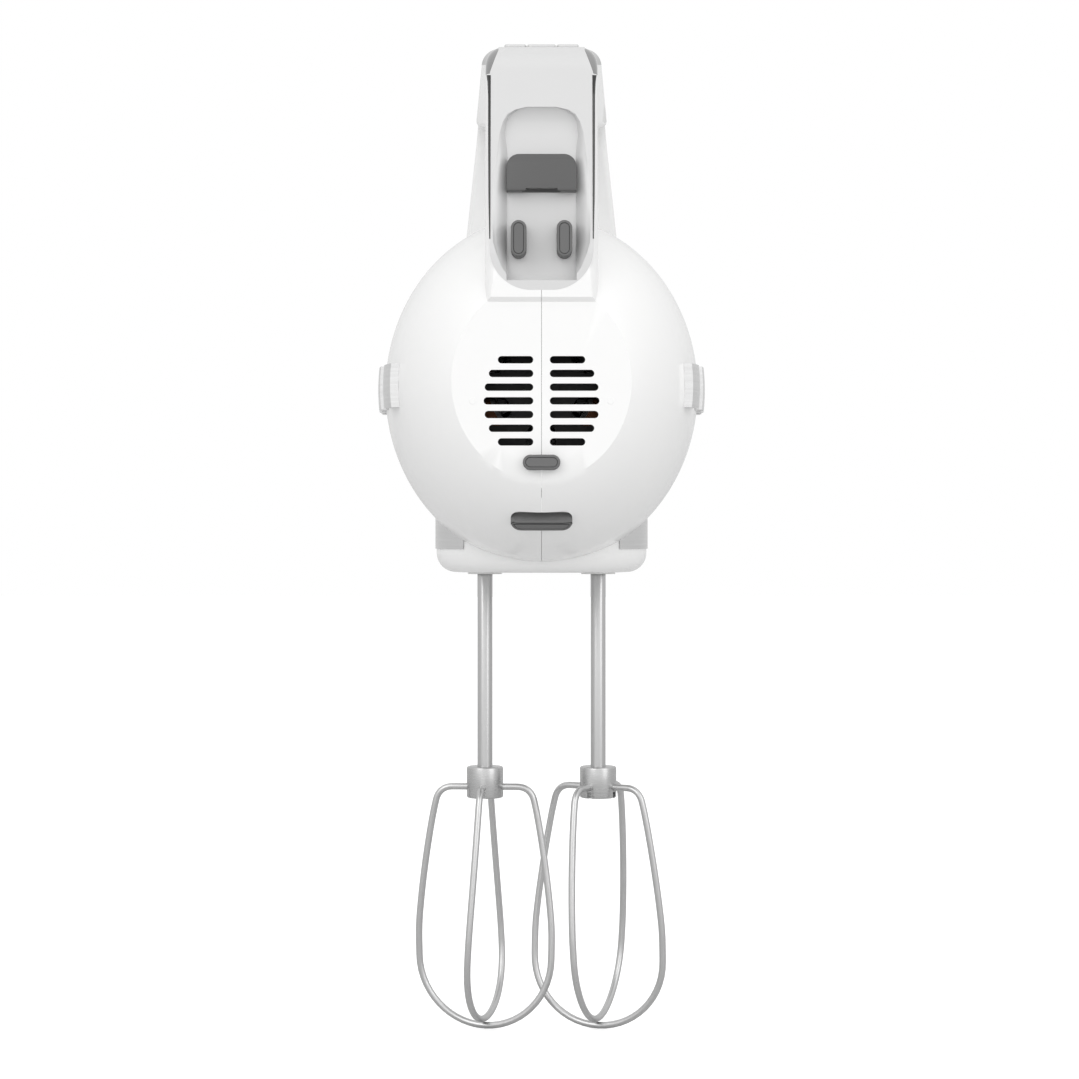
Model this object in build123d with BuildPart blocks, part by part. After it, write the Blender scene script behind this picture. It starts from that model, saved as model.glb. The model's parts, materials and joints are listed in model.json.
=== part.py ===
from build123d import *
import math
import os

# Hand mixer, built as an assembly. Millimetres, +Z up, +Y towards the nose, -Y towards the heel.
# The origin is the middle of the handle's grip bar; the beaters point down.

# ---- driving dimensions ----
AXIS_Z = -97.0            # height of the motor's axis, which runs along Y
BODY_HALF_WIDTH = 48.2    # motor housing, an egg on the motor's axis
BODY_HALF_HEIGHT = 53.6
HEEL_Y = -83.0            # flat disc at the back of the egg
WIDEST_Y = -25.0
NOSE_Y = 117.0
HEEL_RADIUS = 26.0
HEEL_POWER = 2.4          # how square the back of the egg is
WALL = 2.4                # shell wall

COLUMN_BACK_Y = -84.0     # back face of the rear column
REST_Y = -86.0            # plane that the feet lie in, the mixer stood on its heel
GRIP_RISE = 18.0          # how much the handle's top climbs from back to crest
GRIP_THICKNESS = 25.4
CREST = (35.0, 20.5)      # (y, z) where the handle's top is highest
REAR_HALF_WIDTH = 16.4    # handle, across its rear column
GRIP_HALF_WIDTH = 16.8
CREST_HALF_WIDTH = 17.4   # handle, across its front column at the crest
FRONT_HALF_WIDTH = 26.2   # lower down the front column
FOOT_HALF_WIDTH = 31.0    # and where the column's sides would reach the motor's axis
TOP_EDGE_RADIUS = 5.5
FINGER_EDGE_RADIUS = 2.0
SPLINE_STEPS = 16

PANEL_HALF_WIDTH = 15.0   # panel on the back of the rear column
PANEL_DEPTH = 7.0
PANEL_BOTTOM_Z = -70.8
CHANNEL_HALF_WIDTH = 10.1 # cord channel down the middle of the panel
CHANNEL_DEPTH = 5.2
COVER_HALF_WIDTH = 12.6   # cover along the top of the handle
COVER_DEPTH = 2.0
COVER_LEDGE = 1.2         # the cover rests on this much of the shell all round
TRIM_DEPTH = 1.2
TRIM_HEIGHT = 5.0

BASE_BOTTOM_Z = -153.0
BASE_RIM_Z = -145.7       # top of the base's plain lower part
BASE_SIZE = (66.0, 118.0) # plan of the base, across and along
BASE_CENTRE_Y = 15.0
BASE_CORNER = 30.0
BASE_WALL = 3.0
BAND_PROUD = 0.4
BAND_DEPTH = 1.2
BAND_GAP_HALF = 24.0      # the band stops this far each side of the middle, at the back

SPINDLE_X = 18.6          # beater spindles, either side of the worm
SPINDLE_Y = 22.0
SPINDLE_RADIUS = 4.0
SHAFT_RADIUS = 2.7        # beater shaft
SHAFT_CLEARANCE = 0.05
RUNNING_CLEARANCE = 0.05
SOCKET_BOTTOM_Z = -154.2
SOCKET_RADIUS = 5.6

GEAR_TEETH = 30
GEAR_MODULE = 1.0
GEAR_WIDTH = 5.0
WORM_STARTS = 2
WORM_START_ANGLE = 90.0   # puts a gap of the worm where each wheel has a tooth
TOOTH_ADDENDUM = 0.9
TOOTH_DEDENDUM = 1.1
TOOTH_HALF = 0.62         # half a tooth's thickness on its pitch line
FLANK = math.tan(math.radians(20))

BEATER_TOP_Z = -119.0     # top end of a beater's shaft, inside its spindle
COLLAR_TOP_Z = -217.4
COLLAR_HEIGHT = 10.3
COLLAR_RADIUS = 6.0
WIRE_RADIUS = 1.1
WIRE_EXIT_DROP = 6.7      # from the collar's top to the wires
LOOP_RADIUS = 22.4
LOOP_DROP = 78.5          # from the wires' exit down to the outer loop's lowest point
LEFT_BEATER_ANGLE = -11.0
RIGHT_BEATER_ANGLE = -24.0

KEY_TRAVEL = 1.2
KEY_PROUD = 1.6
KEY_GAP = 0.3

BENCH_SCREW = 1.5         # shank radius of every case screw

os.makedirs("parts", exist_ok=True)


def save(part, name):
    part.label = name
    export_step(part, f"parts/{name}.step")


# ---- outer forms, made again with an inset for the space inside ----
def egg_form(inset):
    """The motor housing: ellipses along the motor's axis, square at the heel, round at the nose."""
    cut_back = (1 - (HEEL_RADIUS / BODY_HALF_WIDTH) ** HEEL_POWER) ** (1 / HEEL_POWER)
    reach = (WIDEST_Y - HEEL_Y) / cut_back
    nose = NOSE_Y - WIDEST_Y

    def half_width(share):
        if share < 0:
            return BODY_HALF_WIDTH * (1 - (-share * cut_back) ** HEEL_POWER) ** (1 / HEEL_POWER)
        return BODY_HALF_WIDTH * math.sqrt(1 - share ** 2)

    with BuildPart(mode=Mode.PRIVATE) as form:
        for share in (-1, -0.92, -0.75, -0.43, 0, 0.25, 0.49, 0.7, 0.86, 0.95, 0.985, 0.998):
            span = (reach * cut_back if share < 0 else nose) - inset
            half = half_width(share) * (BODY_HALF_WIDTH - inset) / BODY_HALF_WIDTH
            place = Plane((0, WIDEST_Y + share * span, AXIS_Z), x_dir=(1, 0, 0), z_dir=(0, 1, 0))
            with BuildSketch(place):
                Ellipse(half * BODY_HALF_HEIGHT / BODY_HALF_WIDTH, half, rotation=90)
        loft()
    return form.part


GRIP_SLOPE = GRIP_RISE / (CREST[0] + 66.0)


def top_z(y):
    """Height of the handle's top line at y, behind its crest."""
    return CREST[1] - GRIP_SLOPE * (CREST[0] - y)


def redrawn(outline):
    """The same outline with its offset curve drawn again as a plain spline, which a file keeps exactly."""
    with BuildSketch(mode=Mode.PRIVATE) as fresh:
        with BuildLine():
            for edge in outline.outer_wire().edges():
                if edge.geom_type in (GeomType.LINE, GeomType.CIRCLE):
                    add(edge)
                else:
                    points = [edge @ (step / SPLINE_STEPS) for step in range(SPLINE_STEPS + 1)]
                    Spline(points, tangents=[edge % 0, edge % 1])
        make_face()
    return fresh.sketch_local


def handle_side(inset, with_opening=True):
    """Side view of the handle loop, with or without its finger opening."""
    rear_top = (-76.6, top_z(-76.6))
    bar_back = (-53.0, top_z(-53.0) - GRIP_THICKNESS)
    bar_front = (30.0, top_z(30.0) - GRIP_THICKNESS)
    with BuildSketch(mode=Mode.PRIVATE) as side:
        with BuildLine():
            Polyline([(99, -80), (90, -90), (HEEL_Y + 12, -90), (COLUMN_BACK_Y, PANEL_BOTTOM_Z - 2),
                      (COLUMN_BACK_Y, -60), rear_top, CREST])
            Spline([CREST, (60, 19), (81, 1), (93, -34), (99, -80)],
                   tangents=[(1, GRIP_SLOPE), (0.25, -1)])
        make_face()
        fillet(side.vertices().sort_by_distance(Vector(*rear_top))[0], 9)
        if inset:
            offset(amount=-inset, kind=Kind.INTERSECTION if inset > 0 else Kind.ARC)
    outline = side.sketch_local
    if inset:
        outline = redrawn(outline.face())
    if not with_opening:
        return outline
    with BuildSketch(mode=Mode.PRIVATE) as loop_side:
        add(outline)
        with BuildLine():
            FilletPolyline([(-57, -70), bar_back, bar_front, (46, -70)], radius=9)
            Line((46, -70), (-57, -70))
        opening = make_face(mode=Mode.PRIVATE)
        if inset:
            opening = offset(opening, amount=inset, kind=Kind.INTERSECTION, mode=Mode.PRIVATE)
        add(opening, mode=Mode.SUBTRACT)
    return loop_side.sketch_local


def handle_form(inset):
    """The handle loop: its side view, narrowed in plan and in front view."""
    rear, grip = REAR_HALF_WIDTH - inset, GRIP_HALF_WIDTH - inset
    crest, front, foot = CREST_HALF_WIDTH - inset, FRONT_HALF_WIDTH - inset, FOOT_HALF_WIDTH - inset
    with BuildPart(mode=Mode.PRIVATE) as form:
        with BuildSketch(Plane.YZ):
            add(handle_side(inset))
        extrude(amount=FOOT_HALF_WIDTH, both=True)
        with BuildSketch(Plane.XY):
            with BuildLine():
                Spline([(rear, -62), (grip, -15), (front, 44), (front, 66)],
                       tangents=[(0, 1), (0, 1)])
                Polyline([(front, 66), (front - 7, 112), (0, 112), (0, -92), (rear, -92), (rear, -62)])
            make_face()
            mirror(about=Plane.YZ)
        extrude(amount=110, both=True, mode=Mode.INTERSECT)
        with BuildSketch(Plane.XZ):
            Polygon([(-crest, 25), (crest, 25), (front, -50), (foot, -92), (-foot, -92), (-front, -50)],
                    align=None)
        extrude(amount=120, both=True, mode=Mode.INTERSECT)
    return form.part


def along(form, wire):
    """Side edges of a handle form that run along one wire of its side view."""
    found = []
    for edge in form.edges():
        middle = edge.position_at(0.5)
        if abs(middle.X) > 9 and wire.distance_to(Vector(0, middle.Y, middle.Z)) < 0.05:
            found.append(edge)
    return found


def rounded_handle():
    """The handle loop with its top edges and finger opening rounded."""
    plain = handle_form(0)
    outline = Plane.YZ * handle_side(0).face()
    crown = [e for e in along(plain, outline.outer_wire()) if e.center().Z > -64 and e.length < 100
             and (e.center().Z > -6 or e.center().Y > 60)]
    crowned = plain.fillet(TOP_EDGE_RADIUS, crown)
    fingers = [e for e in along(crowned, outline.inner_wires()[0]) if e.center().Z > -60]
    # the crease where the plan and the front view meet ends on the opening, so it is rounded too
    creases = [e for e in crowned.edges() if abs(e.center().X) > 19 and 8 < e.center().Y < 14
               and e.length < 14]
    return crowned.fillet(FINGER_EDGE_RADIUS, fingers + creases)


def slab(depth, half_width, proud=0.0):
    """The outermost layer of the handle's side view, down to a depth and standing proud."""
    with BuildPart(mode=Mode.PRIVATE) as layer:
        with BuildSketch(Plane.YZ):
            add(handle_side(-proud, with_opening=False))
            add(handle_side(depth, with_opening=False), mode=Mode.SUBTRACT)
        extrude(amount=half_width, both=True)
    return layer.part


outer_egg = egg_form(0)
inner_egg = egg_form(WALL)
outer_handle = rounded_handle()
inner_handle = handle_form(WALL)


# ---- small shapes that several pieces use ----
def rod(x, y, z0, z1, radius):
    """A plain upright cylinder from one height to another."""
    return Pos(x, y, (z0 + z1) / 2) * Cylinder(radius, abs(z1 - z0), mode=Mode.PRIVATE)


def axle(y0, y1, radius, x=0.0, z=AXIS_Z):
    """A plain cylinder along Y."""
    return Pos(x, (y0 + y1) / 2, z) * Rot(90, 0, 0) * Cylinder(radius, abs(y1 - y0), mode=Mode.PRIVATE)


def block(x, y, z):
    """A box between two corners, given as (low, high) pairs."""
    size = (x[1] - x[0], y[1] - y[0], z[1] - z[0])
    return Pos((x[0] + x[1]) / 2, (y[0] + y[1]) / 2, (z[0] + z[1]) / 2) * Box(*size, mode=Mode.PRIVATE)


def cross_rod(x0, x1, y, z, radius):
    """A plain cylinder along X."""
    return Pos((x0 + x1) / 2, y, z) * Rot(0, 90, 0) * Cylinder(radius, abs(x1 - x0), mode=Mode.PRIVATE)


def ring(y0, y1, outer, inner):
    """A tube along Y, on the motor's axis."""
    return axle(y0, y1, outer) - axle(y0 - 1, y1 + 1, inner)


# ---- base ----
def base_plan(spread):
    with BuildSketch(mode=Mode.PRIVATE) as plan:
        with Locations((0, BASE_CENTRE_Y)):
            RectangleRounded(BASE_SIZE[0] + 2 * spread, BASE_SIZE[1] + 2 * spread, BASE_CORNER + spread)
    return plan.sketch


def base_prism(spread, z0, z1):
    with BuildPart(mode=Mode.PRIVATE) as prism:
        with BuildSketch(Plane.XY.offset(z0)):
            add(base_plan(spread))
        extrude(amount=z1 - z0)
    return prism.part


BAND_TOP_Z = -132.0
FLOOR_TOP_Z = BASE_BOTTOM_Z + 2.4
SPINDLES = [(-SPINDLE_X, SPINDLE_Y), (SPINDLE_X, SPINDLE_Y)]
BASE_SCREWS = [(x, y) for x in (-12, 12) for y in (-26, 56)]

band_gap = block((-BAND_GAP_HALF, BAND_GAP_HALF), (-60, -20), (-150, -120))
with BuildPart() as base_trim_band:
    add(base_prism(BAND_PROUD, BASE_RIM_Z, BAND_TOP_Z))
    add(base_prism(-BAND_DEPTH, BASE_RIM_Z - 1, BAND_TOP_Z + 1), mode=Mode.SUBTRACT)
    add(outer_egg, mode=Mode.SUBTRACT)
    add(band_gap, mode=Mode.SUBTRACT)
save(base_trim_band.part, "base_trim_band")

with BuildPart() as base_block:
    add(base_prism(0, BASE_BOTTOM_Z, BAND_TOP_Z))
    fillet(base_block.faces().sort_by(Axis.Z)[0].edges(), 6)
    add(outer_egg, mode=Mode.SUBTRACT)
    add(base_prism(-BASE_WALL, FLOOR_TOP_Z, BAND_TOP_Z + 1), mode=Mode.SUBTRACT)
    add(base_trim_band.part, mode=Mode.SUBTRACT)
    with BuildSketch(Plane.XY.offset(BASE_BOTTOM_Z)):
        with Locations(*SPINDLES):
            Circle(SOCKET_RADIUS - 0.4)
        with Locations(*BASE_SCREWS):
            Circle(BENCH_SCREW + 0.1)
    extrude(amount=20, mode=Mode.SUBTRACT)
    with BuildSketch(Plane.XY.offset(BASE_BOTTOM_Z)):
        with Locations(*BASE_SCREWS):
            Circle(2.9)
    extrude(amount=1.2, mode=Mode.SUBTRACT)
save(base_block.part, "base_block")

# ---- layers on the handle: top cover, back panel and the chrome trim between them and the sides ----
COVER_Y = (-66.0, 64.4)
cover_layer = slab(COVER_DEPTH, COVER_HALF_WIDTH)
cover_span = block((-40, 40), COVER_Y, (-30, 40))
KEY_Y = (4.0, 36.0)
KEY_RANGES = {"key_slower": (-12.0, -4.9), "key_start": (-4.6, 4.6), "key_faster": (4.9, 12.0)}
WINDOW_Y = (41.0, 62.0)
WINDOW_HALF_WIDTH = 9.0
EJECT_Y = (65.0, 76.0)
EJECT_HALF_WIDTH = 8.0
EJECT_PROUD = 3.0
EJECT_ROD_Y = 70.0

with BuildPart() as handle_top_cover:
    add(cover_layer & cover_span)
    for low, high in KEY_RANGES.values():
        slot_x = (low - KEY_GAP / 2, high + KEY_GAP / 2)
        add(block(slot_x, (KEY_Y[0] - KEY_GAP, KEY_Y[1] + KEY_GAP), (-20, 40)), mode=Mode.SUBTRACT)
    add(block((-WINDOW_HALF_WIDTH, WINDOW_HALF_WIDTH), WINDOW_Y, (-20, 40)), mode=Mode.SUBTRACT)
save(handle_top_cover.part, "handle_top_cover")

with BuildPart() as display_window:
    add(cover_layer & block((-WINDOW_HALF_WIDTH, WINDOW_HALF_WIDTH), WINDOW_Y, (-20, 40)))
save(display_window.part, "display_window")


# the keys sit square to the sloping top, so they are placed from its own plane
KEY_MIDDLE_Y = (KEY_Y[0] + KEY_Y[1]) / 2
TOP_PLANE = Plane((0, KEY_MIDDLE_Y, top_z(KEY_MIDDLE_Y)), x_dir=(1, 0, 0), z_dir=(0, -GRIP_SLOPE, 1))
KEY_DEPTH = 3.2
BOARD_DEPTH = 6.6
BOARD_THICKNESS = 1.6
key_length = KEY_Y[1] - KEY_Y[0]

for name, (low, high) in KEY_RANGES.items():
    with BuildPart() as key:
        with BuildSketch(TOP_PLANE.offset(-KEY_DEPTH)):
            with Locations(((low + high) / 2, 0)):
                RectangleRounded(high - low, key_length, 1.2)
        extrude(amount=KEY_DEPTH + KEY_PROUD)
        fillet(key.faces().sort_by(Axis.Z)[-1].edges(), 0.7)
    save(key.part, name)

with BuildPart() as control_board:
    with BuildSketch(TOP_PLANE.offset(-BOARD_DEPTH - BOARD_THICKNESS)):
        Rectangle(28, key_length)
    extrude(amount=BOARD_THICKNESS)
save(control_board.part, "control_board")

with BuildPart() as key_switches:
    with BuildSketch(TOP_PLANE.offset(-BOARD_DEPTH)):
        with Locations(*[((low + high) / 2, 0) for low, high in KEY_RANGES.values()]):
            Rectangle(6, 6)
    extrude(amount=BOARD_DEPTH - KEY_DEPTH - KEY_TRAVEL - 0.2)
save(key_switches.part, "key_switches")

with BuildPart() as display_module:
    add(block((-8, 8), (WINDOW_Y[0] + 1, WINDOW_Y[1] - 1), (9, 15.6)))
save(display_module.part, "display_module")

# ---- ejector: button, rod, fork and the two pins that push the beaters out ----
FORK_Z = (AXIS_Z + 20, AXIS_Z + 23)
BUTTON_BOTTOM_Z = 0.0
with BuildPart() as eject_button:
    with BuildSketch(Plane.YZ):
        add(handle_side(-EJECT_PROUD, with_opening=False))
    extrude(amount=EJECT_HALF_WIDTH, both=True)
    add(block((-40, 40), EJECT_Y, (BUTTON_BOTTOM_Z, 40)), mode=Mode.INTERSECT)
save(eject_button.part, "eject_button")

with BuildPart() as eject_rod:
    add(rod(0, EJECT_ROD_Y, FORK_Z[1], BUTTON_BOTTOM_Z, 2.2))
save(eject_rod.part, "eject_rod")

with BuildPart() as eject_fork:
    add(block((-4, 4), (SPINDLE_Y - 4, EJECT_ROD_Y + 4), FORK_Z))
    add(block((-SPINDLE_X - 4, SPINDLE_X + 4), (SPINDLE_Y - 4, SPINDLE_Y + 4), FORK_Z))
save(eject_fork.part, "eject_fork")

with BuildPart() as eject_pins:
    for x, y in SPINDLES:
        add(rod(x, y, BEATER_TOP_Z + 0.3, FORK_Z[0], 2.4))
save(eject_pins.part, "eject_pins")

# ---- back of the handle ----
GLAND_Z = (-42.1, -31.2)
GLAND_FACE_Y = -84.6
GLAND_CORNER = 3.6
GLAND_INNER_Y = -73.0
CORD_RADIUS = 2.6
CORD_AXIS_Y = -81.6
CORD_LEAN = 12.0
CORD_TURN_Z = GLAND_Z[1] - 5
CORD_TURN_Y = CORD_AXIS_Y + (CORD_TURN_Z - GLAND_Z[0]) * math.tan(math.radians(CORD_LEAN))
CHANNEL_FLOOR_Y = COLUMN_BACK_Y + CHANNEL_DEPTH
CHANNEL_BOTTOM_Z = -68.0

with BuildPart() as panel_blank:
    add(slab(PANEL_DEPTH, PANEL_HALF_WIDTH))
    with BuildSketch(Plane.XZ):
        with BuildLine():
            low, wide = PANEL_BOTTOM_Z, PANEL_HALF_WIDTH
            FilletPolyline([(-COVER_HALF_WIDTH, 12), (-COVER_HALF_WIDTH, 0), (-wide, -7), (-wide, low),
                            (wide, low), (wide, -7), (COVER_HALF_WIDTH, 0), (COVER_HALF_WIDTH, 12)],
                           radius=[2, 2, 12, 12, 2, 2])
            Line((COVER_HALF_WIDTH, 12), (-COVER_HALF_WIDTH, 12))
        make_face()
    extrude(amount=100, mode=Mode.INTERSECT)
    add(block((-40, 40), (-100, COVER_Y[0]), (-100, 20)), mode=Mode.INTERSECT)

with BuildPart() as gland_window:
    add(block((-CHANNEL_HALF_WIDTH, CHANNEL_HALF_WIDTH), (-100, -60), GLAND_Z))
    fillet(gland_window.edges().filter_by(Axis.Y).sort_by(Axis.Z)[-2:], GLAND_CORNER)

with BuildPart() as rear_panel:
    add(panel_blank.part)
    add(block((-CHANNEL_HALF_WIDTH, CHANNEL_HALF_WIDTH), (-100, CHANNEL_FLOOR_Y),
              (CHANNEL_BOTTOM_Z, GLAND_Z[0])), mode=Mode.SUBTRACT)
    add(gland_window.part, mode=Mode.SUBTRACT)
save(rear_panel.part, "rear_panel")

with BuildPart() as cord_gland:
    add(block((-CHANNEL_HALF_WIDTH, CHANNEL_HALF_WIDTH), (GLAND_FACE_Y, GLAND_INNER_Y), GLAND_Z))
    fillet(cord_gland.edges().filter_by(Axis.Y).sort_by(Axis.Z)[-2:], GLAND_CORNER)
    # the cord comes in from below, leaning so that it clears the heel, and turns forward in a round hollow
    with Locations(Location((0, CORD_AXIS_Y, GLAND_Z[0]), (-CORD_LEAN, 0, 0))):
        Cylinder(CORD_RADIUS, 2 * (CORD_TURN_Z - GLAND_Z[0]) / math.cos(math.radians(CORD_LEAN)),
                 mode=Mode.SUBTRACT)
    with Locations((0, CORD_TURN_Y, CORD_TURN_Z)):
        Sphere(CORD_RADIUS + 0.4, mode=Mode.SUBTRACT)
    add(axle(CORD_TURN_Y, GLAND_INNER_Y + 1, CORD_RADIUS, z=CORD_TURN_Z), mode=Mode.SUBTRACT)
save(cord_gland.part, "cord_gland")

with BuildPart() as cord_clamp:
    add(block((-9, 9), (GLAND_INNER_Y, GLAND_INNER_Y + 2), (-46, -33)))
    add(axle(GLAND_INNER_Y - 1, GLAND_INNER_Y + 3, CORD_RADIUS, z=CORD_TURN_Z), mode=Mode.SUBTRACT)
save(cord_clamp.part, "cord_clamp")

with BuildPart() as terminal_block:
    add(block((-8, 8), (-71.2, -63), (-30, -20)))
save(terminal_block.part, "terminal_block")


def foot(plane, length, width, depth):
    """A rubber foot: a rounded slot raised from the plane by its depth."""
    with BuildPart(mode=Mode.PRIVATE) as pad:
        with BuildSketch(plane):
            SlotOverall(length, width)
        extrude(amount=depth)
        fillet(pad.faces().sort_by(Axis.Y)[0].edges(), 0.6)
    return pad.part


FOOT_POCKET = 1.0         # how deep the heel foot is let into the shell
upright_feet = {}
for name, side in (("handle_foot_left", -1), ("handle_foot_right", 1)):
    seat = Plane((side * 6.6, CHANNEL_FLOOR_Y, -56.1), x_dir=(0, 0, 1), z_dir=(0, -1, 0))
    upright_feet[name] = foot(seat, 10.5, 4.5, CHANNEL_FLOOR_Y - REST_Y)
    save(upright_feet[name], name)
heel_seat = Plane((0, HEEL_Y + FOOT_POCKET, AXIS_Z - 23.5), x_dir=(1, 0, 0), z_dir=(0, -1, 0))
heel_foot = foot(heel_seat, 10.8, 4.4, HEEL_Y + FOOT_POCKET - REST_Y)
save(heel_foot, "heel_foot")
lower_seat = Plane((0, -71.6, AXIS_Z - 38.2), x_dir=(1, 0, 0), z_dir=(0, -0.72, -0.69))
lower_foot = foot(lower_seat, 18.0, 6.5, 4.0)
save(lower_foot, "lower_foot")

# ---- trim along the handle's top corners ----
with BuildPart() as trim_strip_left:
    add(slab(TRIM_HEIGHT, FOOT_HALF_WIDTH))
    add(block((-40, -COVER_HALF_WIDTH), (-100, COVER_Y[1]), (-7, 40)), mode=Mode.INTERSECT)
    add(outer_handle, mode=Mode.INTERSECT)
    add(panel_blank.part, mode=Mode.SUBTRACT)
save(trim_strip_left.part, "trim_strip_left")

with BuildPart() as trim_strip_right:
    add(trim_strip_left.part)
    mirror(about=Plane.YZ)
    add(block((0, 40), (-100, 100), (-20, 60)), mode=Mode.INTERSECT)
save(trim_strip_right.part, "trim_strip_right")

# ---- side badges: four plain bars each side ----
BADGE_PROUD = 2.2
badge_layer = egg_form(-BADGE_PROUD) - outer_egg
for name, span in (("side_badge_left", (-80, -30)), ("side_badge_right", (30, 80))):
    with BuildPart() as badge:
        for y in (-58, -44, -30, -16):
            add(badge_layer & block(span, (y - 4, y + 4), (AXIS_Z - 6.5, AXIS_Z + 6.5)))
    save(badge.part, name)

# ---- motor ----
STATOR_RADIUS = 24.0
STATOR_BORE = 14.5
STATOR_Y = (-42.0, -18.0)
COIL_OVERHANG = 6.0
ARMATURE_RADIUS = 14.0
MOTOR_SHAFT_RADIUS = 2.5
SHAFT_BACK_Y = -70.0
FRAME_Y = (-67.0, -62.0)   # rear bearing bracket

with BuildPart() as field_coils:
    add(ring(STATOR_Y[0] - COIL_OVERHANG, STATOR_Y[1] + COIL_OVERHANG, STATOR_RADIUS - 3, STATOR_BORE + 1.5))
    add(block((-8, 8), (-60, 0), (AXIS_Z - 30, AXIS_Z + 30)), mode=Mode.SUBTRACT)
save(field_coils.part, "field_coils")

with BuildPart() as stator_core:
    add(ring(*STATOR_Y, STATOR_RADIUS, STATOR_BORE))
    add(field_coils.part, mode=Mode.SUBTRACT)
save(stator_core.part, "stator_core")

with BuildPart() as armature_core:
    add(ring(*STATOR_Y, ARMATURE_RADIUS, MOTOR_SHAFT_RADIUS))
    with BuildSketch(Plane.XZ.offset(-STATOR_Y[0] + 1)):
        with Locations((0, AXIS_Z)):
            with PolarLocations(ARMATURE_RADIUS, 10):
                Rectangle(6, 1.4)
    extrude(amount=-(STATOR_Y[1] - STATOR_Y[0]) - 2, mode=Mode.SUBTRACT)
save(armature_core.part, "armature_core")

with BuildPart() as armature_windings:
    add(ring(STATOR_Y[0] - 5, STATOR_Y[0], 11.5, MOTOR_SHAFT_RADIUS))
    add(ring(STATOR_Y[1], STATOR_Y[1] + 5, 11.5, MOTOR_SHAFT_RADIUS))
    fillet(armature_windings.edges().filter_by(GeomType.CIRCLE).group_by(SortBy.LENGTH)[-1], 1.5)
save(armature_windings.part, "armature_windings")

COMMUTATOR_Y = (-60.0, -49.0)
COMMUTATOR_RADIUS = 8.0
with BuildPart() as commutator:
    add(ring(*COMMUTATOR_Y, COMMUTATOR_RADIUS, MOTOR_SHAFT_RADIUS))
save(commutator.part, "commutator")

BRUSH_Y = -55.0
for name, side in (("brush_left", -1), ("brush_right", 1)):
    near, far = COMMUTATOR_RADIUS + RUNNING_CLEARANCE, 22.0
    spans = {"brush": (near, 17.0), "brush_slot": (0.0, far), "brush_holder": (10.0, far + 1.0)}
    span = {key: tuple(sorted((side * a, side * b))) for key, (a, b) in spans.items()}
    with BuildPart() as brush:
        add(block(span["brush"], (BRUSH_Y - 2.5, BRUSH_Y + 2.5), (AXIS_Z - 2.5, AXIS_Z + 2.5)))
    save(brush.part, name)
    with BuildPart() as holder:
        add(block(span["brush_holder"], (FRAME_Y[1], BRUSH_Y + 3.6), (AXIS_Z - 3.6, AXIS_Z + 3.6)))
        add(block(span["brush_slot"], (BRUSH_Y - 2.5, BRUSH_Y + 2.5), (AXIS_Z - 2.5, AXIS_Z + 2.5)),
            mode=Mode.SUBTRACT)
    save(holder.part, name.replace("brush", "brush_holder"))

with BuildPart() as rear_bearing:
    add(ring(FRAME_Y[0] - 2, FRAME_Y[1] + 1, 5.0, MOTOR_SHAFT_RADIUS + RUNNING_CLEARANCE))
save(rear_bearing.part, "rear_bearing")

with BuildPart() as bearing_bracket:
    add(ring(*FRAME_Y, STATOR_RADIUS, 5.0))
    with BuildSketch(Plane.XZ.offset(-FRAME_Y[0] + 1)):
        with Locations((0, AXIS_Z)):
            with PolarLocations(15.5, 6, start_angle=30):
                Circle(4.5)
    extrude(amount=-(FRAME_Y[1] - FRAME_Y[0]) - 2, mode=Mode.SUBTRACT)
save(bearing_bracket.part, "bearing_bracket")

FAN_Y = (-9.0, -1.0)
with BuildPart() as cooling_fan:
    add(ring(FAN_Y[0], FAN_Y[0] + 1.5, 21.0, MOTOR_SHAFT_RADIUS))
    add(ring(*FAN_Y, 6.0, MOTOR_SHAFT_RADIUS))
    with BuildSketch(Plane.XZ.offset(-FAN_Y[0] - 1.5)):
        with Locations((0, AXIS_Z)):
            with PolarLocations(12.5, 10):
                Rectangle(16, 1.2)
    extrude(amount=-(FAN_Y[1] - FAN_Y[0] - 1.5))
save(cooling_fan.part, "cooling_fan")

# ---- gear train: a worm between two wheels, so the wheels turn opposite ways ----
PITCH_RADIUS = GEAR_MODULE * GEAR_TEETH / 2
WORM_PITCH_RADIUS = SPINDLE_X - PITCH_RADIUS
AXIAL_PITCH = math.pi * GEAR_MODULE
LEAD = WORM_STARTS * AXIAL_PITCH
TOOTH_SLANT = LEAD / (2 * math.pi * WORM_PITCH_RADIUS)
WORM_SEAT = MOTOR_SHAFT_RADIUS + 0.02   # the threads sit on the motor's shaft
WORM_TURNS = 3
CASE_Y = (SPINDLE_Y - 19.0, SPINDLE_Y + 19.0)
CASE_WALL = 2.5
CASE_BOTTOM_Z = AXIS_Z - 11.0
CASE_TOP_Z = AXIS_Z + 10.5
CASE_HALF_WIDTH = 38.0
CAVITY_HALF_HEIGHT = 8.0


def tooth_width(radius_from_pitch):
    return TOOTH_HALF - radius_from_pitch * FLANK


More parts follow.
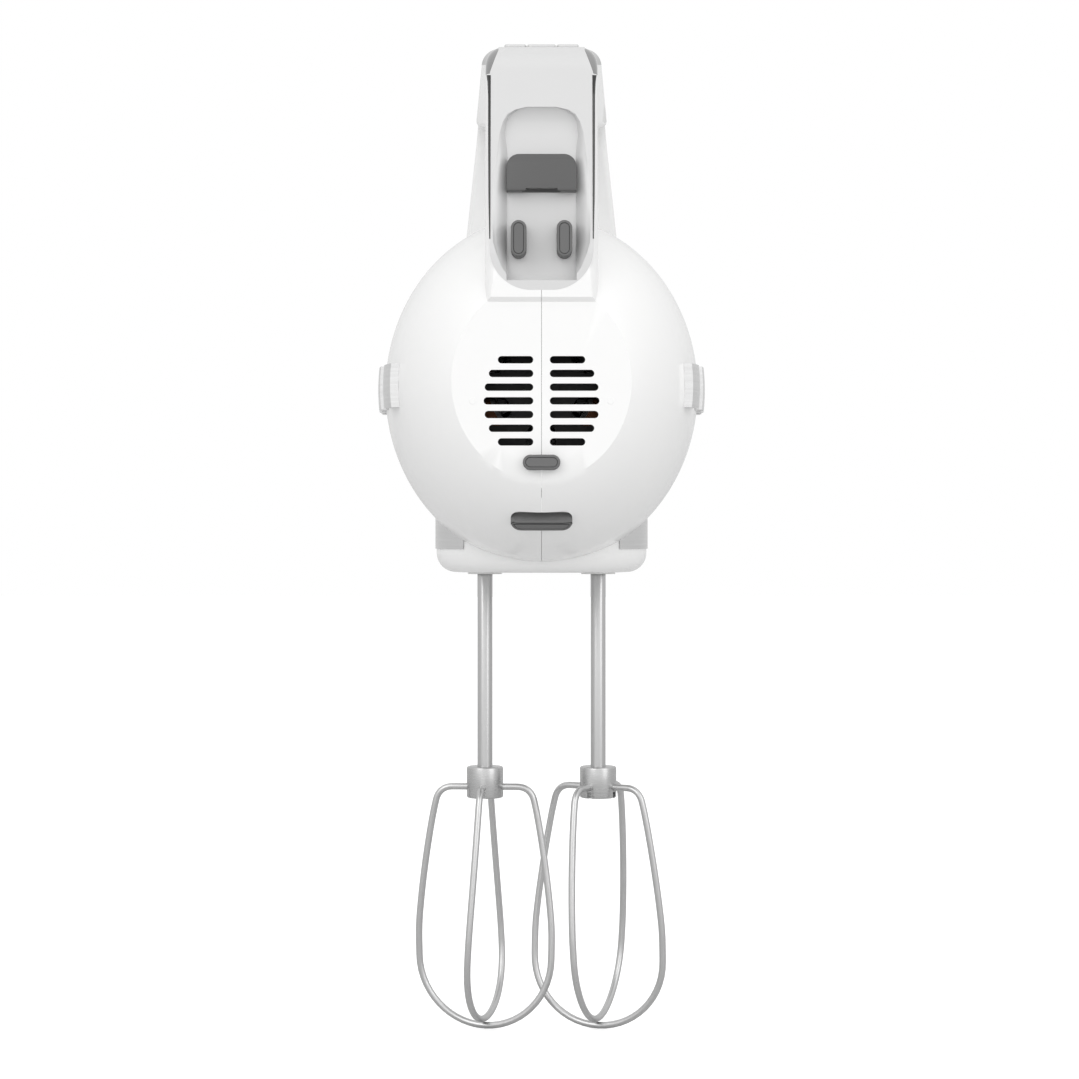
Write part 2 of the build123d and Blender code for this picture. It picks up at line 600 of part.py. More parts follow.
def wheel():
    """One slanted-tooth wheel, its teeth in step with the worm; the worm lies towards +X of it."""
    root = PITCH_RADIUS - TOOTH_DEDENDUM
    shift = TOOTH_SLANT * GEAR_WIDTH / 2
    tip, tip_half = PITCH_RADIUS + TOOTH_ADDENDUM, tooth_width(TOOTH_ADDENDUM)
    foot_radius, foot_half = root - 0.3, tooth_width(-TOOTH_DEDENDUM)
    profile = [(foot_radius, -foot_half), (tip, -tip_half), (tip, tip_half), (foot_radius, foot_half)]
    with BuildPart(mode=Mode.PRIVATE) as tooth:
        with BuildSketch(Plane.XY.offset(-GEAR_WIDTH / 2)):
            Polygon([(r, t - shift) for r, t in profile], align=None)
        extrude(amount=GEAR_WIDTH, dir=(0, TOOTH_SLANT, 1))
    with BuildPart(mode=Mode.PRIVATE) as body:
        Cylinder(root, GEAR_WIDTH)
        Cylinder(7.0, 2 * CAVITY_HALF_HEIGHT - 0.2)
        with PolarLocations(0, GEAR_TEETH):
            add(tooth.part)
        Cylinder(SPINDLE_RADIUS, 40, mode=Mode.SUBTRACT)
    return body.part


left_wheel = Pos(-SPINDLE_X, SPINDLE_Y, AXIS_Z) * wheel()
right_wheel = Pos(SPINDLE_X, SPINDLE_Y, AXIS_Z) * Rot(0, 180, 0) * wheel()
save(left_wheel, "drive_gear_left")
save(right_wheel, "drive_gear_right")


def worm_thread():
    """One start of the worm, a ridge wound about Y, its middle turn level with the wheels."""
    height = WORM_TURNS * LEAD
    with BuildPart(mode=Mode.PRIVATE) as ridge:
        with BuildLine():
            curve = Helix(pitch=LEAD, height=height, radius=WORM_SEAT)
        with BuildSketch(Plane(curve @ 0, x_dir=(1, 0, 0), z_dir=curve % 0)):
            reach = WORM_PITCH_RADIUS + TOOTH_ADDENDUM - WORM_SEAT
            foot_half, tip_half = tooth_width(-TOOTH_DEDENDUM), tooth_width(TOOTH_ADDENDUM)
            Polygon([(0, -foot_half), (reach, -tip_half), (reach, tip_half), (0, foot_half)], align=None)
        sweep(is_frenet=True)
    return ridge.part


with BuildPart() as motor_shaft:
    add(axle(SHAFT_BACK_Y, CASE_Y[1] + 5, MOTOR_SHAFT_RADIUS))
save(motor_shaft.part, "motor_shaft")

thread = worm_thread()
start_y = SPINDLE_Y - WORM_TURNS * LEAD / 2
with BuildPart() as worm:
    for turn in range(WORM_STARTS):
        angle = WORM_START_ANGLE + 360 * turn / WORM_STARTS
        add(Pos(0, start_y, AXIS_Z) * Rot(0, angle, 0) * Rot(-90, 0, 0) * thread)
save(worm.part, "worm")

sleeve_bottom_z = FLOOR_TOP_Z
with BuildPart() as gearbox_lower:
    add(block((-CASE_HALF_WIDTH, CASE_HALF_WIDTH), CASE_Y, (CASE_BOTTOM_Z, AXIS_Z)))
    for x, y in SPINDLES:
        add(rod(x, y, sleeve_bottom_z, CASE_BOTTOM_Z, SOCKET_RADIUS + 1.4))
    inner_y = (CASE_Y[0] + CASE_WALL, CASE_Y[1] - CASE_WALL)
    add(block((CASE_WALL - CASE_HALF_WIDTH, CASE_HALF_WIDTH - CASE_WALL), inner_y,
              (AXIS_Z - CAVITY_HALF_HEIGHT, AXIS_Z + 1)), mode=Mode.SUBTRACT)
    for x, y in SPINDLES:
        add(rod(x, y, sleeve_bottom_z - 1, CASE_BOTTOM_Z - 1, SOCKET_RADIUS - 0.4), mode=Mode.SUBTRACT)
        add(rod(x, y, CASE_BOTTOM_Z - 5, AXIS_Z, SPINDLE_RADIUS + RUNNING_CLEARANCE), mode=Mode.SUBTRACT)
    add(axle(CASE_Y[0] - 1, CASE_Y[1] + 1, 4.0), mode=Mode.SUBTRACT)
save(gearbox_lower.part, "gearbox_lower")

with BuildPart() as gearbox_upper:
    add(block((-CASE_HALF_WIDTH, CASE_HALF_WIDTH), CASE_Y, (AXIS_Z, CASE_TOP_Z)))
    add(block((CASE_WALL - CASE_HALF_WIDTH, CASE_HALF_WIDTH - CASE_WALL), inner_y,
              (AXIS_Z - 1, AXIS_Z + CAVITY_HALF_HEIGHT)), mode=Mode.SUBTRACT)
    for x, y in SPINDLES:
        add(rod(x, y, AXIS_Z, CASE_TOP_Z + 1, SPINDLE_RADIUS + RUNNING_CLEARANCE), mode=Mode.SUBTRACT)
    add(axle(CASE_Y[0] - 1, CASE_Y[1] + 1, 4.0), mode=Mode.SUBTRACT)
save(gearbox_upper.part, "gearbox_upper")

for name, y in (("middle_bearing", CASE_Y[0]), ("front_bearing", CASE_Y[1] - CASE_WALL)):
    with BuildPart() as bearing:
        add(ring(y, y + CASE_WALL, 4.0, MOTOR_SHAFT_RADIUS + RUNNING_CLEARANCE))
    save(bearing.part, name)

for name, (x, y) in zip(("spindle_left", "spindle_right"), SPINDLES):
    with BuildPart() as spindle:
        add(rod(x, y, SOCKET_BOTTOM_Z + 0.3, CASE_TOP_Z, SPINDLE_RADIUS))
        add(rod(x, y, SOCKET_BOTTOM_Z - 1, CASE_TOP_Z + 1, SHAFT_RADIUS + SHAFT_CLEARANCE), mode=Mode.SUBTRACT)
    save(spindle.part, name)

for name, (x, y) in zip(("socket_plate_left", "socket_plate_right"), SPINDLES):
    with BuildPart() as socket:
        add(rod(x, y, SOCKET_BOTTOM_Z, BASE_BOTTOM_Z, SOCKET_RADIUS))
        add(rod(x, y, BASE_BOTTOM_Z, BASE_BOTTOM_Z + 7, SOCKET_RADIUS - 0.4))
        add(rod(x, y, SOCKET_BOTTOM_Z - 1, 0, SPINDLE_RADIUS + RUNNING_CLEARANCE), mode=Mode.SUBTRACT)
    save(socket.part, name)

# ---- beaters ----
WIRE_EXIT_Z = COLLAR_TOP_Z - WIRE_EXIT_DROP


def wire_loop(drop):
    """One closed-up wire loop in its own plane: out of the collar, down, round and back."""
    lowest = -drop
    half = [(SHAFT_RADIUS + 0.3, 0), (15.2, 0), (20.6, -23), (LOOP_RADIUS, -48), (LOOP_RADIUS, lowest)]
    points = half + [(-x, z) for x, z in half[::-1]]
    radii = [5, 60, 60, LOOP_RADIUS - 0.4]
    with BuildPart(mode=Mode.PRIVATE) as loop:
        with BuildLine(Plane.XZ):
            path = FilletPolyline(points, radius=radii + radii[::-1])
        with BuildSketch(Plane(path @ 0, z_dir=path % 0)):
            Circle(WIRE_RADIUS)
        sweep()
    return loop.part


def beater(side_name, place, angle):
    x, y = place
    turn = Pos(x, y, WIRE_EXIT_Z) * Rot(0, 0, angle)
    inner_drop = LOOP_DROP - 2 * WIRE_RADIUS - 0.2
    loops = Compound([turn * wire_loop(LOOP_DROP), turn * Rot(0, 0, 90) * wire_loop(inner_drop)])
    save(loops, f"beater_loops_{side_name}")
    with BuildPart() as collar:
        add(rod(x, y, COLLAR_TOP_Z - COLLAR_HEIGHT, COLLAR_TOP_Z, COLLAR_RADIUS))
        add(rod(x, y, COLLAR_TOP_Z - COLLAR_HEIGHT - 1, COLLAR_TOP_Z + 1, SHAFT_RADIUS), mode=Mode.SUBTRACT)
        for part in loops.solids():
            add(part, mode=Mode.SUBTRACT)
    save(collar.part, f"beater_collar_{side_name}")
    with BuildPart() as shaft:
        add(rod(x, y, COLLAR_TOP_Z - COLLAR_HEIGHT, BEATER_TOP_Z, SHAFT_RADIUS))
        chamfer(shaft.faces().sort_by(Axis.Z)[-1].edges(), 0.8)
    save(shaft.part, f"beater_shaft_{side_name}")


beater("left", SPINDLES[0], LEFT_BEATER_ANGLE)
beater("right", SPINDLES[1], RIGHT_BEATER_ANGLE)

# ---- shells ----
VENT_Z = AXIS_Z - 5.7
VENT_PITCH = 3.95
VENT_HEIGHT = 2.13
VENT_INNER_X = 2.4
VENT_OUTER_X = [12.6, 15.2, 16.4, 16.7, 16.4, 15.2, 12.6]
SCREW_POINTS = [(-67.0, -52.0, 16.3), (62.0, -34.0, 24.0), (96.0, AXIS_Z, 24.8), (-5.0, AXIS_Z - 31, 38.7)]
BOSS_RADIUS = 4.0
HEAD_SINK = 7.0
CRADLE_RIBS = [(-36.0, -33.0), (-27.0, -24.0), FRAME_Y]

with BuildPart() as whole:
    add(outer_egg)
    add(outer_handle)

with BuildPart() as shells:
    add(whole.part)
    add(inner_egg, mode=Mode.SUBTRACT)
    add(inner_handle, mode=Mode.SUBTRACT)
    for y0, y1 in CRADLE_RIBS:
        add((inner_egg & block((-60, 60), (y0, y1), (-160, -40))) - axle(y0 - 1, y1 + 1, STATOR_RADIUS + 0.05))
    for y, z, width in SCREW_POINTS:
        add(cross_rod(-width, width, y, z, BOSS_RADIUS) & whole.part)
    for x, y in BASE_SCREWS:
        add(rod(x, y, -160, AXIS_Z - 38, BOSS_RADIUS) & outer_egg)
    # seats of what closes the top and the back of the handle
    over_cover = block((-40, 40), COVER_Y, (-30, 40))
    add(slab(COVER_DEPTH, COVER_HALF_WIDTH, proud=1.0) & over_cover, mode=Mode.SUBTRACT)
    under_cover = block((-40, 40), (COVER_Y[0] + COVER_LEDGE, COVER_Y[1] - COVER_LEDGE), (-30, 40))
    add(slab(WALL + 1, COVER_HALF_WIDTH - COVER_LEDGE, proud=1.0) & under_cover, mode=Mode.SUBTRACT)
    add(block((-EJECT_HALF_WIDTH - KEY_GAP, EJECT_HALF_WIDTH + KEY_GAP),
              (EJECT_Y[0] - KEY_GAP, EJECT_Y[1] + KEY_GAP), (-6, 40)), mode=Mode.SUBTRACT)
    low_x, high_x = KEY_RANGES["key_slower"][0] - KEY_GAP / 2, KEY_RANGES["key_faster"][1] + KEY_GAP / 2
    add(block((low_x, high_x), (KEY_Y[0] - KEY_GAP, KEY_Y[1] + KEY_GAP), (8, 40)), mode=Mode.SUBTRACT)
    add(panel_blank.part, mode=Mode.SUBTRACT)
    add(cord_gland.part, mode=Mode.SUBTRACT)
    for trim in (trim_strip_left, trim_strip_right):
        add(trim.part, mode=Mode.SUBTRACT)
    add(heel_foot, mode=Mode.SUBTRACT)
    add(lower_foot, mode=Mode.SUBTRACT)
    # way down for the spindles' sleeves
    with BuildSketch(Plane.XY.offset(-160)):
        with Locations((0, SPINDLE_Y)):
            RectangleRounded(2 * SPINDLE_X + 18, 22, 8)
    extrude(amount=40, mode=Mode.SUBTRACT)
    # vents
    with BuildSketch(Plane.XZ.offset(-HEEL_Y - 12)):
        for row, outer_x in enumerate(VENT_OUTER_X):
            for side in (-1, 1):
                middle = side * (VENT_INNER_X + outer_x) / 2
                with Locations((middle, VENT_Z + (3 - row) * VENT_PITCH)):
                    SlotOverall(outer_x - VENT_INNER_X, VENT_HEIGHT)
    extrude(amount=30, mode=Mode.SUBTRACT)
    # screws
    for y, z, width in SCREW_POINTS:
        add(cross_rod(HEAD_SINK - width, width - HEAD_SINK, y, z, BENCH_SCREW), mode=Mode.SUBTRACT)
        add(cross_rod(-width - 5, HEAD_SINK - width, y, z, 3.0), mode=Mode.SUBTRACT)
    for x, y in BASE_SCREWS:
        add(rod(x, y, -160, AXIS_Z - 42, BENCH_SCREW), mode=Mode.SUBTRACT)

save(shells.part & block((0, 80), (-120, 160), (-200, 60)), "body_shell_right")
save(shells.part & block((-80, 0), (-120, 160), (-200, 60)), "body_shell_left")

with BuildPart() as case_screws:
    for y, z, width in SCREW_POINTS:
        seat = -width + HEAD_SINK
        add(cross_rod(seat, -seat, y, z, BENCH_SCREW))
        add(cross_rod(seat - 2.4, seat, y, z, 2.8))
save(case_screws.part, "case_screws")

with BuildPart() as base_screws:
    for x, y in BASE_SCREWS:
        add(rod(x, y, BASE_BOTTOM_Z + 1.2, AXIS_Z - 42, BENCH_SCREW))
        add(rod(x, y, BASE_BOTTOM_Z + 0.1, BASE_BOTTOM_Z + 1.2, 2.8))
save(base_screws.part, "base_screws")
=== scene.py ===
import json
import math

import bmesh
import bpy
from mathutils import Matrix, Vector
from mathutils.bvhtree import BVHTree


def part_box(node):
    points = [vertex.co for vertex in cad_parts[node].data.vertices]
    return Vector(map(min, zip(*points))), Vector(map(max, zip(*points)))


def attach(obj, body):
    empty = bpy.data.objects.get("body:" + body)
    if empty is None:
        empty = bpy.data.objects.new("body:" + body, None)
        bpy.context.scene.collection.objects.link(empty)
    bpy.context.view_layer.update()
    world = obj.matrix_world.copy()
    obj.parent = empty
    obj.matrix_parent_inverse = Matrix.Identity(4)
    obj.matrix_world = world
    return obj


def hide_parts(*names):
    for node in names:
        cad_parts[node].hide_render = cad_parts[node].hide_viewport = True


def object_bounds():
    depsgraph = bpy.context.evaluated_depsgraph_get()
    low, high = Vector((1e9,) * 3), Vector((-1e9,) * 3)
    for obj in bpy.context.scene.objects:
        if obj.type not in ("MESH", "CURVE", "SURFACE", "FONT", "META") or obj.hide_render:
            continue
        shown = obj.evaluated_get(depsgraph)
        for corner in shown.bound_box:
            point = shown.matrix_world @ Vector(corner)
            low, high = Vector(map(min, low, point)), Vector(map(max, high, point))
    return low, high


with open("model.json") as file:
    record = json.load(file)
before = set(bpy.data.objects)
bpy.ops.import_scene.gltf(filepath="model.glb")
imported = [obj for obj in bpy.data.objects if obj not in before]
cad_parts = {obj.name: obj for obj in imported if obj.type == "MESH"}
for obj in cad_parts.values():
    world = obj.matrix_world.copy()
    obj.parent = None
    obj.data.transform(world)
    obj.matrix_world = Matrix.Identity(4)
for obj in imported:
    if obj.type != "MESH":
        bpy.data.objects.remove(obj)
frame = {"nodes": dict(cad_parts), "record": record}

CAD_BOX = [list(corner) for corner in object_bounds()]
NODES = frame["nodes"]
BODY_OF = {node: body for body, members in frame["record"]["behaviour"]["bodies"].items() for node in members}
SLOT_OF = {part["node"]: part["material_slot"] for part in frame["record"]["subparts"]}
MM = 0.001
BODY_AXIS_Z = (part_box("motor_shaft")[0].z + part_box("motor_shaft")[1].z) / 2
HEEL_INSIDE_Y = -0.078      # the heel's inner wall lies behind this
HEEL_FACE_Y = -0.0822       # its outer face lies behind this
SHOULDER_Z = -0.055         # above this is the handle
SEAM_HALF = 0.05 * MM
DEEPEST_INNER = 0.0515      # no inner wall is further than this from the motor's axis


# ---------------------------------------------------------------- surface effects
def effect(name, inputs):
    """A node group with these inputs that puts out a colour, a roughness and a height."""
    tree = bpy.data.node_groups.new(name, "ShaderNodeTree")
    for label, kind, value in inputs:
        tree.interface.new_socket(label, in_out="INPUT", socket_type="NodeSocket" + kind).default_value = value
    for label, kind in (("Colour", "Color"), ("Roughness", "Float"), ("Height", "Float")):
        tree.interface.new_socket(label, in_out="OUTPUT", socket_type="NodeSocket" + kind)
    return tree, tree.nodes.new("NodeGroupInput"), tree.nodes.new("NodeGroupOutput")


def arithmetic(tree, operation, *values):
    """A Math node whose inputs are sockets or plain numbers."""
    node = tree.nodes.new("ShaderNodeMath")
    node.operation = operation
    for place, value in zip(node.inputs, values):
        if isinstance(value, bpy.types.NodeSocket):
            tree.links.new(value, place)
        else:
            place.default_value = value
    return node.outputs[0]


def noise(tree, vector, scale, detail=2.0, roughness=0.5):
    node = tree.nodes.new("ShaderNodeTexNoise")
    tree.links.new(vector, node.inputs["Vector"])
    if isinstance(scale, bpy.types.NodeSocket):
        tree.links.new(scale, node.inputs["Scale"])
    else:
        node.inputs["Scale"].default_value = scale
    node.inputs["Detail"].default_value = detail
    node.inputs["Roughness"].default_value = roughness
    return node.outputs["Fac"]


def blend_colours(tree, factor, first, second):
    node = tree.nodes.new("ShaderNodeMix")
    node.data_type = "RGBA"
    tree.links.new(factor, node.inputs[0])
    tree.links.new(first, node.inputs[6])
    tree.links.new(second, node.inputs[7])
    return node.outputs[2]


def moulded_effect():
    """Moulded plastic: a fine even grain, slow drifts of tone, and a polish that varies a little."""
    tree, given, out = effect("moulded", [
        ("Colour", "Color", (0.8, 0.8, 0.8, 1)), ("Drift", "Color", (0.75, 0.75, 0.75, 1)),
        ("Roughness", "Float", 0.3), ("Spread", "Float", 0.05),
        ("Grain scale", "Float", 900.0), ("Relief", "Float", 0.3)])
    place = tree.nodes.new("ShaderNodeTexCoord").outputs["Object"]
    slow = noise(tree, place, 9.0, 2.0)
    grain = noise(tree, place, given.outputs["Grain scale"], 3.0, 0.6)
    tone = blend_colours(tree, slow, given.outputs["Colour"], given.outputs["Drift"])
    tree.links.new(tone, out.inputs["Colour"])
    spread = arithmetic(tree, "MULTIPLY", arithmetic(tree, "SUBTRACT", slow, 0.5), given.outputs["Spread"])
    tree.links.new(arithmetic(tree, "ADD", given.outputs["Roughness"], spread), out.inputs["Roughness"])
    tree.links.new(arithmetic(tree, "MULTIPLY", grain, given.outputs["Relief"]), out.inputs["Height"])
    return tree


def drawn_effect():
    """Metal with lines drawn along one direction: the line vector squeezes the noise across it."""
    tree, given, out = effect("drawn_metal", [
        ("Colour", "Color", (0.6, 0.6, 0.6, 1)), ("Drift", "Color", (0.5, 0.5, 0.5, 1)),
        ("Roughness", "Float", 0.3), ("Spread", "Float", 0.1),
        ("Lines", "Vector", (1400.0, 1400.0, 30.0)), ("Relief", "Float", 0.3)])
    place = tree.nodes.new("ShaderNodeTexCoord").outputs["Object"]
    stretch = tree.nodes.new("ShaderNodeVectorMath")
    stretch.operation = "MULTIPLY"
    tree.links.new(place, stretch.inputs[0])
    tree.links.new(given.outputs["Lines"], stretch.inputs[1])
    lines = noise(tree, stretch.outputs[0], 1.0, 4.0, 0.65)
    tone = blend_colours(tree, lines, given.outputs["Colour"], given.outputs["Drift"])
    tree.links.new(tone, out.inputs["Colour"])
    spread = arithmetic(tree, "MULTIPLY", arithmetic(tree, "SUBTRACT", lines, 0.5), given.outputs["Spread"])
    tree.links.new(arithmetic(tree, "ADD", given.outputs["Roughness"], spread), out.inputs["Roughness"])
    tree.links.new(arithmetic(tree, "MULTIPLY", lines, given.outputs["Relief"]), out.inputs["Height"])
    return tree


MOULDED = moulded_effect()
DRAWN = drawn_effect()


def finish_of(name, kind, colour, drift, roughness, spread, relief, depth=0.05, extra=(), **shader_values):
    """A material: one effect group feeding a Principled shader, whose constants sit on its own sockets."""
    material = bpy.data.materials.new(name)
    material.use_nodes = True
    tree = material.node_tree
    shader = tree.nodes["Principled BSDF"]
    skin = tree.nodes.new("ShaderNodeGroup")
    skin.node_tree = kind
    values = {"Colour": (*colour, 1), "Drift": (*drift, 1), "Roughness": roughness, "Spread": spread,
              "Relief": relief, **dict(extra)}
    for label, value in values.items():
        skin.inputs[label].default_value = value
    bump = tree.nodes.new("ShaderNodeBump")
    bump.inputs["Strength"].default_value = 0.35
    bump.inputs["Distance"].default_value = depth * MM
    tree.links.new(skin.outputs["Colour"], shader.inputs["Base Color"])
    tree.links.new(skin.outputs["Roughness"], shader.inputs["Roughness"])
    tree.links.new(skin.outputs["Height"], bump.inputs["Height"])
    tree.links.new(bump.outputs["Normal"], shader.inputs["Normal"])
    for label, value in shader_values.items():
        shader.inputs[label.replace("_", " ")].default_value = value
    return material


def grey(value):
    return (value, value, value)


def metal(name, tone, roughness, spread=0.12, relief=0.4, lines=(1400, 1400, 30), warm=(1, 1, 1)):
    colour = tuple(tone * w for w in warm)
    drift = tuple(tone * 0.82 * w for w in warm)
    return finish_of(name, DRAWN, colour, drift, roughness, spread, relief, 0.02,
                     extra={"Lines": lines}.items(), Metallic=1.0)


WHITE_GLOSS = finish_of("white_gloss_shell", MOULDED, (0.88, 0.88, 0.875), (0.865, 0.866, 0.865),
                        0.24, 0.04, 0.1, Coat_Weight=0.35, Coat_Roughness=0.08)
SILVER_SATIN = finish_of("silver_satin_panel", MOULDED, grey(0.66), grey(0.63), 0.34, 0.05, 0.35,
                         extra={"Grain scale": 2200.0}.items(), Metallic=0.15, Coat_Weight=0.15)
CHROME = metal("bright_chrome", 0.72, 0.07, 0.03, 0.05, (120, 120, 120))
# painted dark reflection and shade: chrome given a near-black tone for the edging strip beside the back panel
CHROME_PAINTED_DARK = metal("chrome_edge_with_painted_dark_reflection", 0.06, 0.12, 0.03, 0.05, (120, 120, 120))
TRIM_CHROME = metal("trim_chrome", 0.42, 0.09, 0.03, 0.05, (120, 120, 120))
SATIN_CHROME = metal("satin_chrome", 0.78, 0.22, 0.08, 0.2, (30, 30, 1200))
BEATER_STEEL = metal("satin_steel_wire", 0.62, 0.30, 0.14, 0.4)
SHAFT_STEEL = metal("turned_steel", 0.58, 0.28, 0.16, 0.5, (60, 60, 1600))
DARK_GLAND = finish_of("dark_gland", MOULDED, grey(0.10), grey(0.085), 0.42, 0.06, 0.5, 0.08)
FOOT_RUBBER = finish_of("foot_rubber", MOULDED, grey(0.145), grey(0.125), 0.62, 0.08, 0.9, 0.1)
SMOKED_WINDOW = finish_of("smoked_window", MOULDED, grey(0.012), grey(0.01), 0.08, 0.02, 0.05,
                          Coat_Weight=0.6, Coat_Roughness=0.04)
# carbon black for the brushes, their holders and the bearings; also laid on the housing's inner walls as
# painted shade
CARBON_AND_VENT_SHADE = finish_of("carbon_black_and_painted_vent_shade", MOULDED, grey(0.03), grey(0.022), 0.55, 0.1, 0.6)
NYLON = finish_of("cream_nylon", MOULDED, (0.66, 0.64, 0.57), (0.61, 0.59, 0.51), 0.45, 0.08, 0.5)
SOCKET_WHITE = finish_of("white_nylon", MOULDED, (0.78, 0.78, 0.77), (0.74, 0.74, 0.73), 0.4, 0.06, 0.4)
BOARD_GREEN = finish_of("board_green", MOULDED, (0.02, 0.13, 0.05), (0.015, 0.10, 0.04), 0.35, 0.08, 0.3)
LAMINATION = metal("stacked_lamination", 0.22, 0.45, 0.15, 0.9, (20, 2600, 20))
# enamelled copper, darkened further as painted shade so that it reads dark behind the vents
COPPER_IN_PAINTED_SHADE = metal("enamelled_copper_darkened_as_painted_shade", 0.10, 0.28, 0.12, 0.8, (60, 60, 60), (1, 0.45, 0.25))
BRASS = metal("machined_brass", 0.70, 0.30, 0.10, 0.4, (900, 20, 900), (1, 0.8, 0.42))

FINISH_FOR_SLOT = {
    "white": WHITE_GLOSS, "silver_plastic": SILVER_SATIN, "chrome": CHROME, "dark_grey": DARK_GLAND,
    "rubber": FOOT_RUBBER, "steel": SHAFT_STEEL, "window": SMOKED_WINDOW, "lamination": LAMINATION,
    "copper": COPPER_IN_PAINTED_SHADE, "brass": BRASS, "carbon": CARBON_AND_VENT_SHADE, "nylon": NYLON, "board": BOARD_GREEN,
}
FINISH_FOR_NODE = {
    "trim_strip_left": TRIM_CHROME, "trim_strip_right": TRIM_CHROME, "base_trim_band": SATIN_CHROME,
    "side_badge_left": SATIN_CHROME, "side_badge_right": SATIN_CHROME,
    "socket_plate_left": SOCKET_WHITE, "socket_plate_right": SOCKET_WHITE, "bearing_bracket": CARBON_AND_VENT_SHADE,
    "rear_bearing": CARBON_AND_VENT_SHADE, "brush_holder_left": CARBON_AND_VENT_SHADE, "brush_holder_right": CARBON_AND_VENT_SHADE,
}


# ---------------------------------------------------------------- pieces
def dress(mesh, material):
    mesh.materials.clear()
    mesh.materials.append(material)


def shade(form, angle):
    """Smooth faces, with edges sharper than the angle kept crisp."""
    limit = math.radians(angle)
    for face in form.faces:
        face.smooth = True
    for edge in form.edges:
        edge.smooth = len(edge.link_faces) == 2 and edge.calc_face_angle() < limit


def settle(form, name, body, material, nodes=(), angle=35):
    """Turns a finished form into a piece that rides on its body."""
    shade(form, angle)
    mesh = bpy.data.meshes.new(name)
    form.to_mesh(mesh)
    form.free()
    dress(mesh, material)
    piece = bpy.data.objects.new(name, mesh)
    bpy.context.scene.collection.objects.link(piece)
    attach(piece, body)
    if nodes:
        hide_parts(*nodes)
    return piece


def baked(piece):
    """The piece's mesh with its modifiers applied."""
    bpy.context.view_layer.update()
    shown = piece.evaluated_get(bpy.context.evaluated_depsgraph_get())
    return bpy.data.meshes.new_from_object(shown)


def merged(node):
    """A form made from a CAD node with its loose triangles joined."""
    form = bmesh.new()
    form.from_mesh(NODES[node].data)
    bmesh.ops.remove_doubles(form, verts=form.verts, dist=2e-6)
    return form


def paint_vent_shade(piece):
    """The housing's inner walls are painted carbon black as painted shade, so that the vents read dark."""
    piece.data.materials.append(CARBON_AND_VENT_SHADE)
    axis_z = BODY_AXIS_Z
    for face in piece.data.polygons:
        out = Vector((face.center.x, 0, face.center.z - axis_z))
        inward = out.length > 1e-6 and face.normal.dot(out.normalized()) < -0.15
        back_wall = face.normal.y > 0.8 and face.center.y < HEEL_INSIDE_Y
        within = face.center.y > HEEL_FACE_Y and face.center.z < SHOULDER_Z and out.length < DEEPEST_INNER
        if (inward or back_wall) and within:
            face.material_index = 1


def part_the_seam(piece):
    """The two halves of the housing meet with a hair's breadth between them."""
    side = math.copysign(1, sum(v.co.x for v in piece.data.vertices))
    for vertex in piece.data.vertices:
        if abs(vertex.co.x) < SEAM_HALF:
            vertex.co.x = side * SEAM_HALF


def smooth_skin(node, angle=32):
    """A smooth-shaded stand-in for a CAD node, in the same shape."""
    form = merged(node)
    for layer in list(form.loops.layers.float_vector.values()):
        form.loops.layers.float_vector.remove(layer)
    material = FINISH_FOR_NODE.get(node, FINISH_FOR_SLOT[SLOT_OF[node]])
    return settle(form, node + "_skin", BODY_OF[node], material, [node], angle)


def cut_away(form, cutters):
    """The form with closed cutter forms taken out of it."""
    whole = bpy.data.meshes.new("whole")
    form.to_mesh(whole)
    form.free()
    body = bpy.data.objects.new("whole", whole)
    bpy.context.scene.collection.objects.link(body)
    tools = []
    for cutter in cutters:
        mesh = bpy.data.meshes.new("cutter")
        cutter.to_mesh(mesh)
        cutter.free()
        tool = bpy.data.objects.new("cutter", mesh)
        bpy.context.scene.collection.objects.link(tool)
        taking = body.modifiers.new("cut", "BOOLEAN")
        taking.operation = "DIFFERENCE"
        taking.object = tool
        tools.append(tool)
    result = bmesh.new()
    result.from_mesh(baked(body))
    for item in tools + [body]:
        bpy.data.objects.remove(item)
    return result


for node_name, node_object in NODES.items():
    dress(node_object.data, FINISH_FOR_NODE.get(node_name, FINISH_FOR_SLOT[SLOT_OF[node_name]]))

SMOOTHED = ["body_shell_left", "body_shell_right", "base_block", "base_trim_band", "trim_strip_left",
            "trim_strip_right", "handle_top_cover", "eject_button", "side_badge_left", "side_badge_right",
            "display_window", "key_slower", "key_start", "key_faster"]
for node_name in SMOOTHED:
    skin_piece = smooth_skin(node_name)
    if node_name.startswith("body_shell"):
        paint_vent_shade(skin_piece)
        part_the_seam(skin_piece)


# ---------------------------------------------------------------- beaters
WIRE_RADIUS = 1.1 * MM
LOOP_HEIGHT = 78.5
INNER_LIFT = 2.4            # how much higher the inner loop's lowest point is
WIRE_TWIST = {"left": (6.0, -6.0), "right": (-6.0, 6.0)}   # degrees about the CAD wires' angle, top and bottom
BEATER_ANGLE = {"left": -11.0, "right": -24.0}


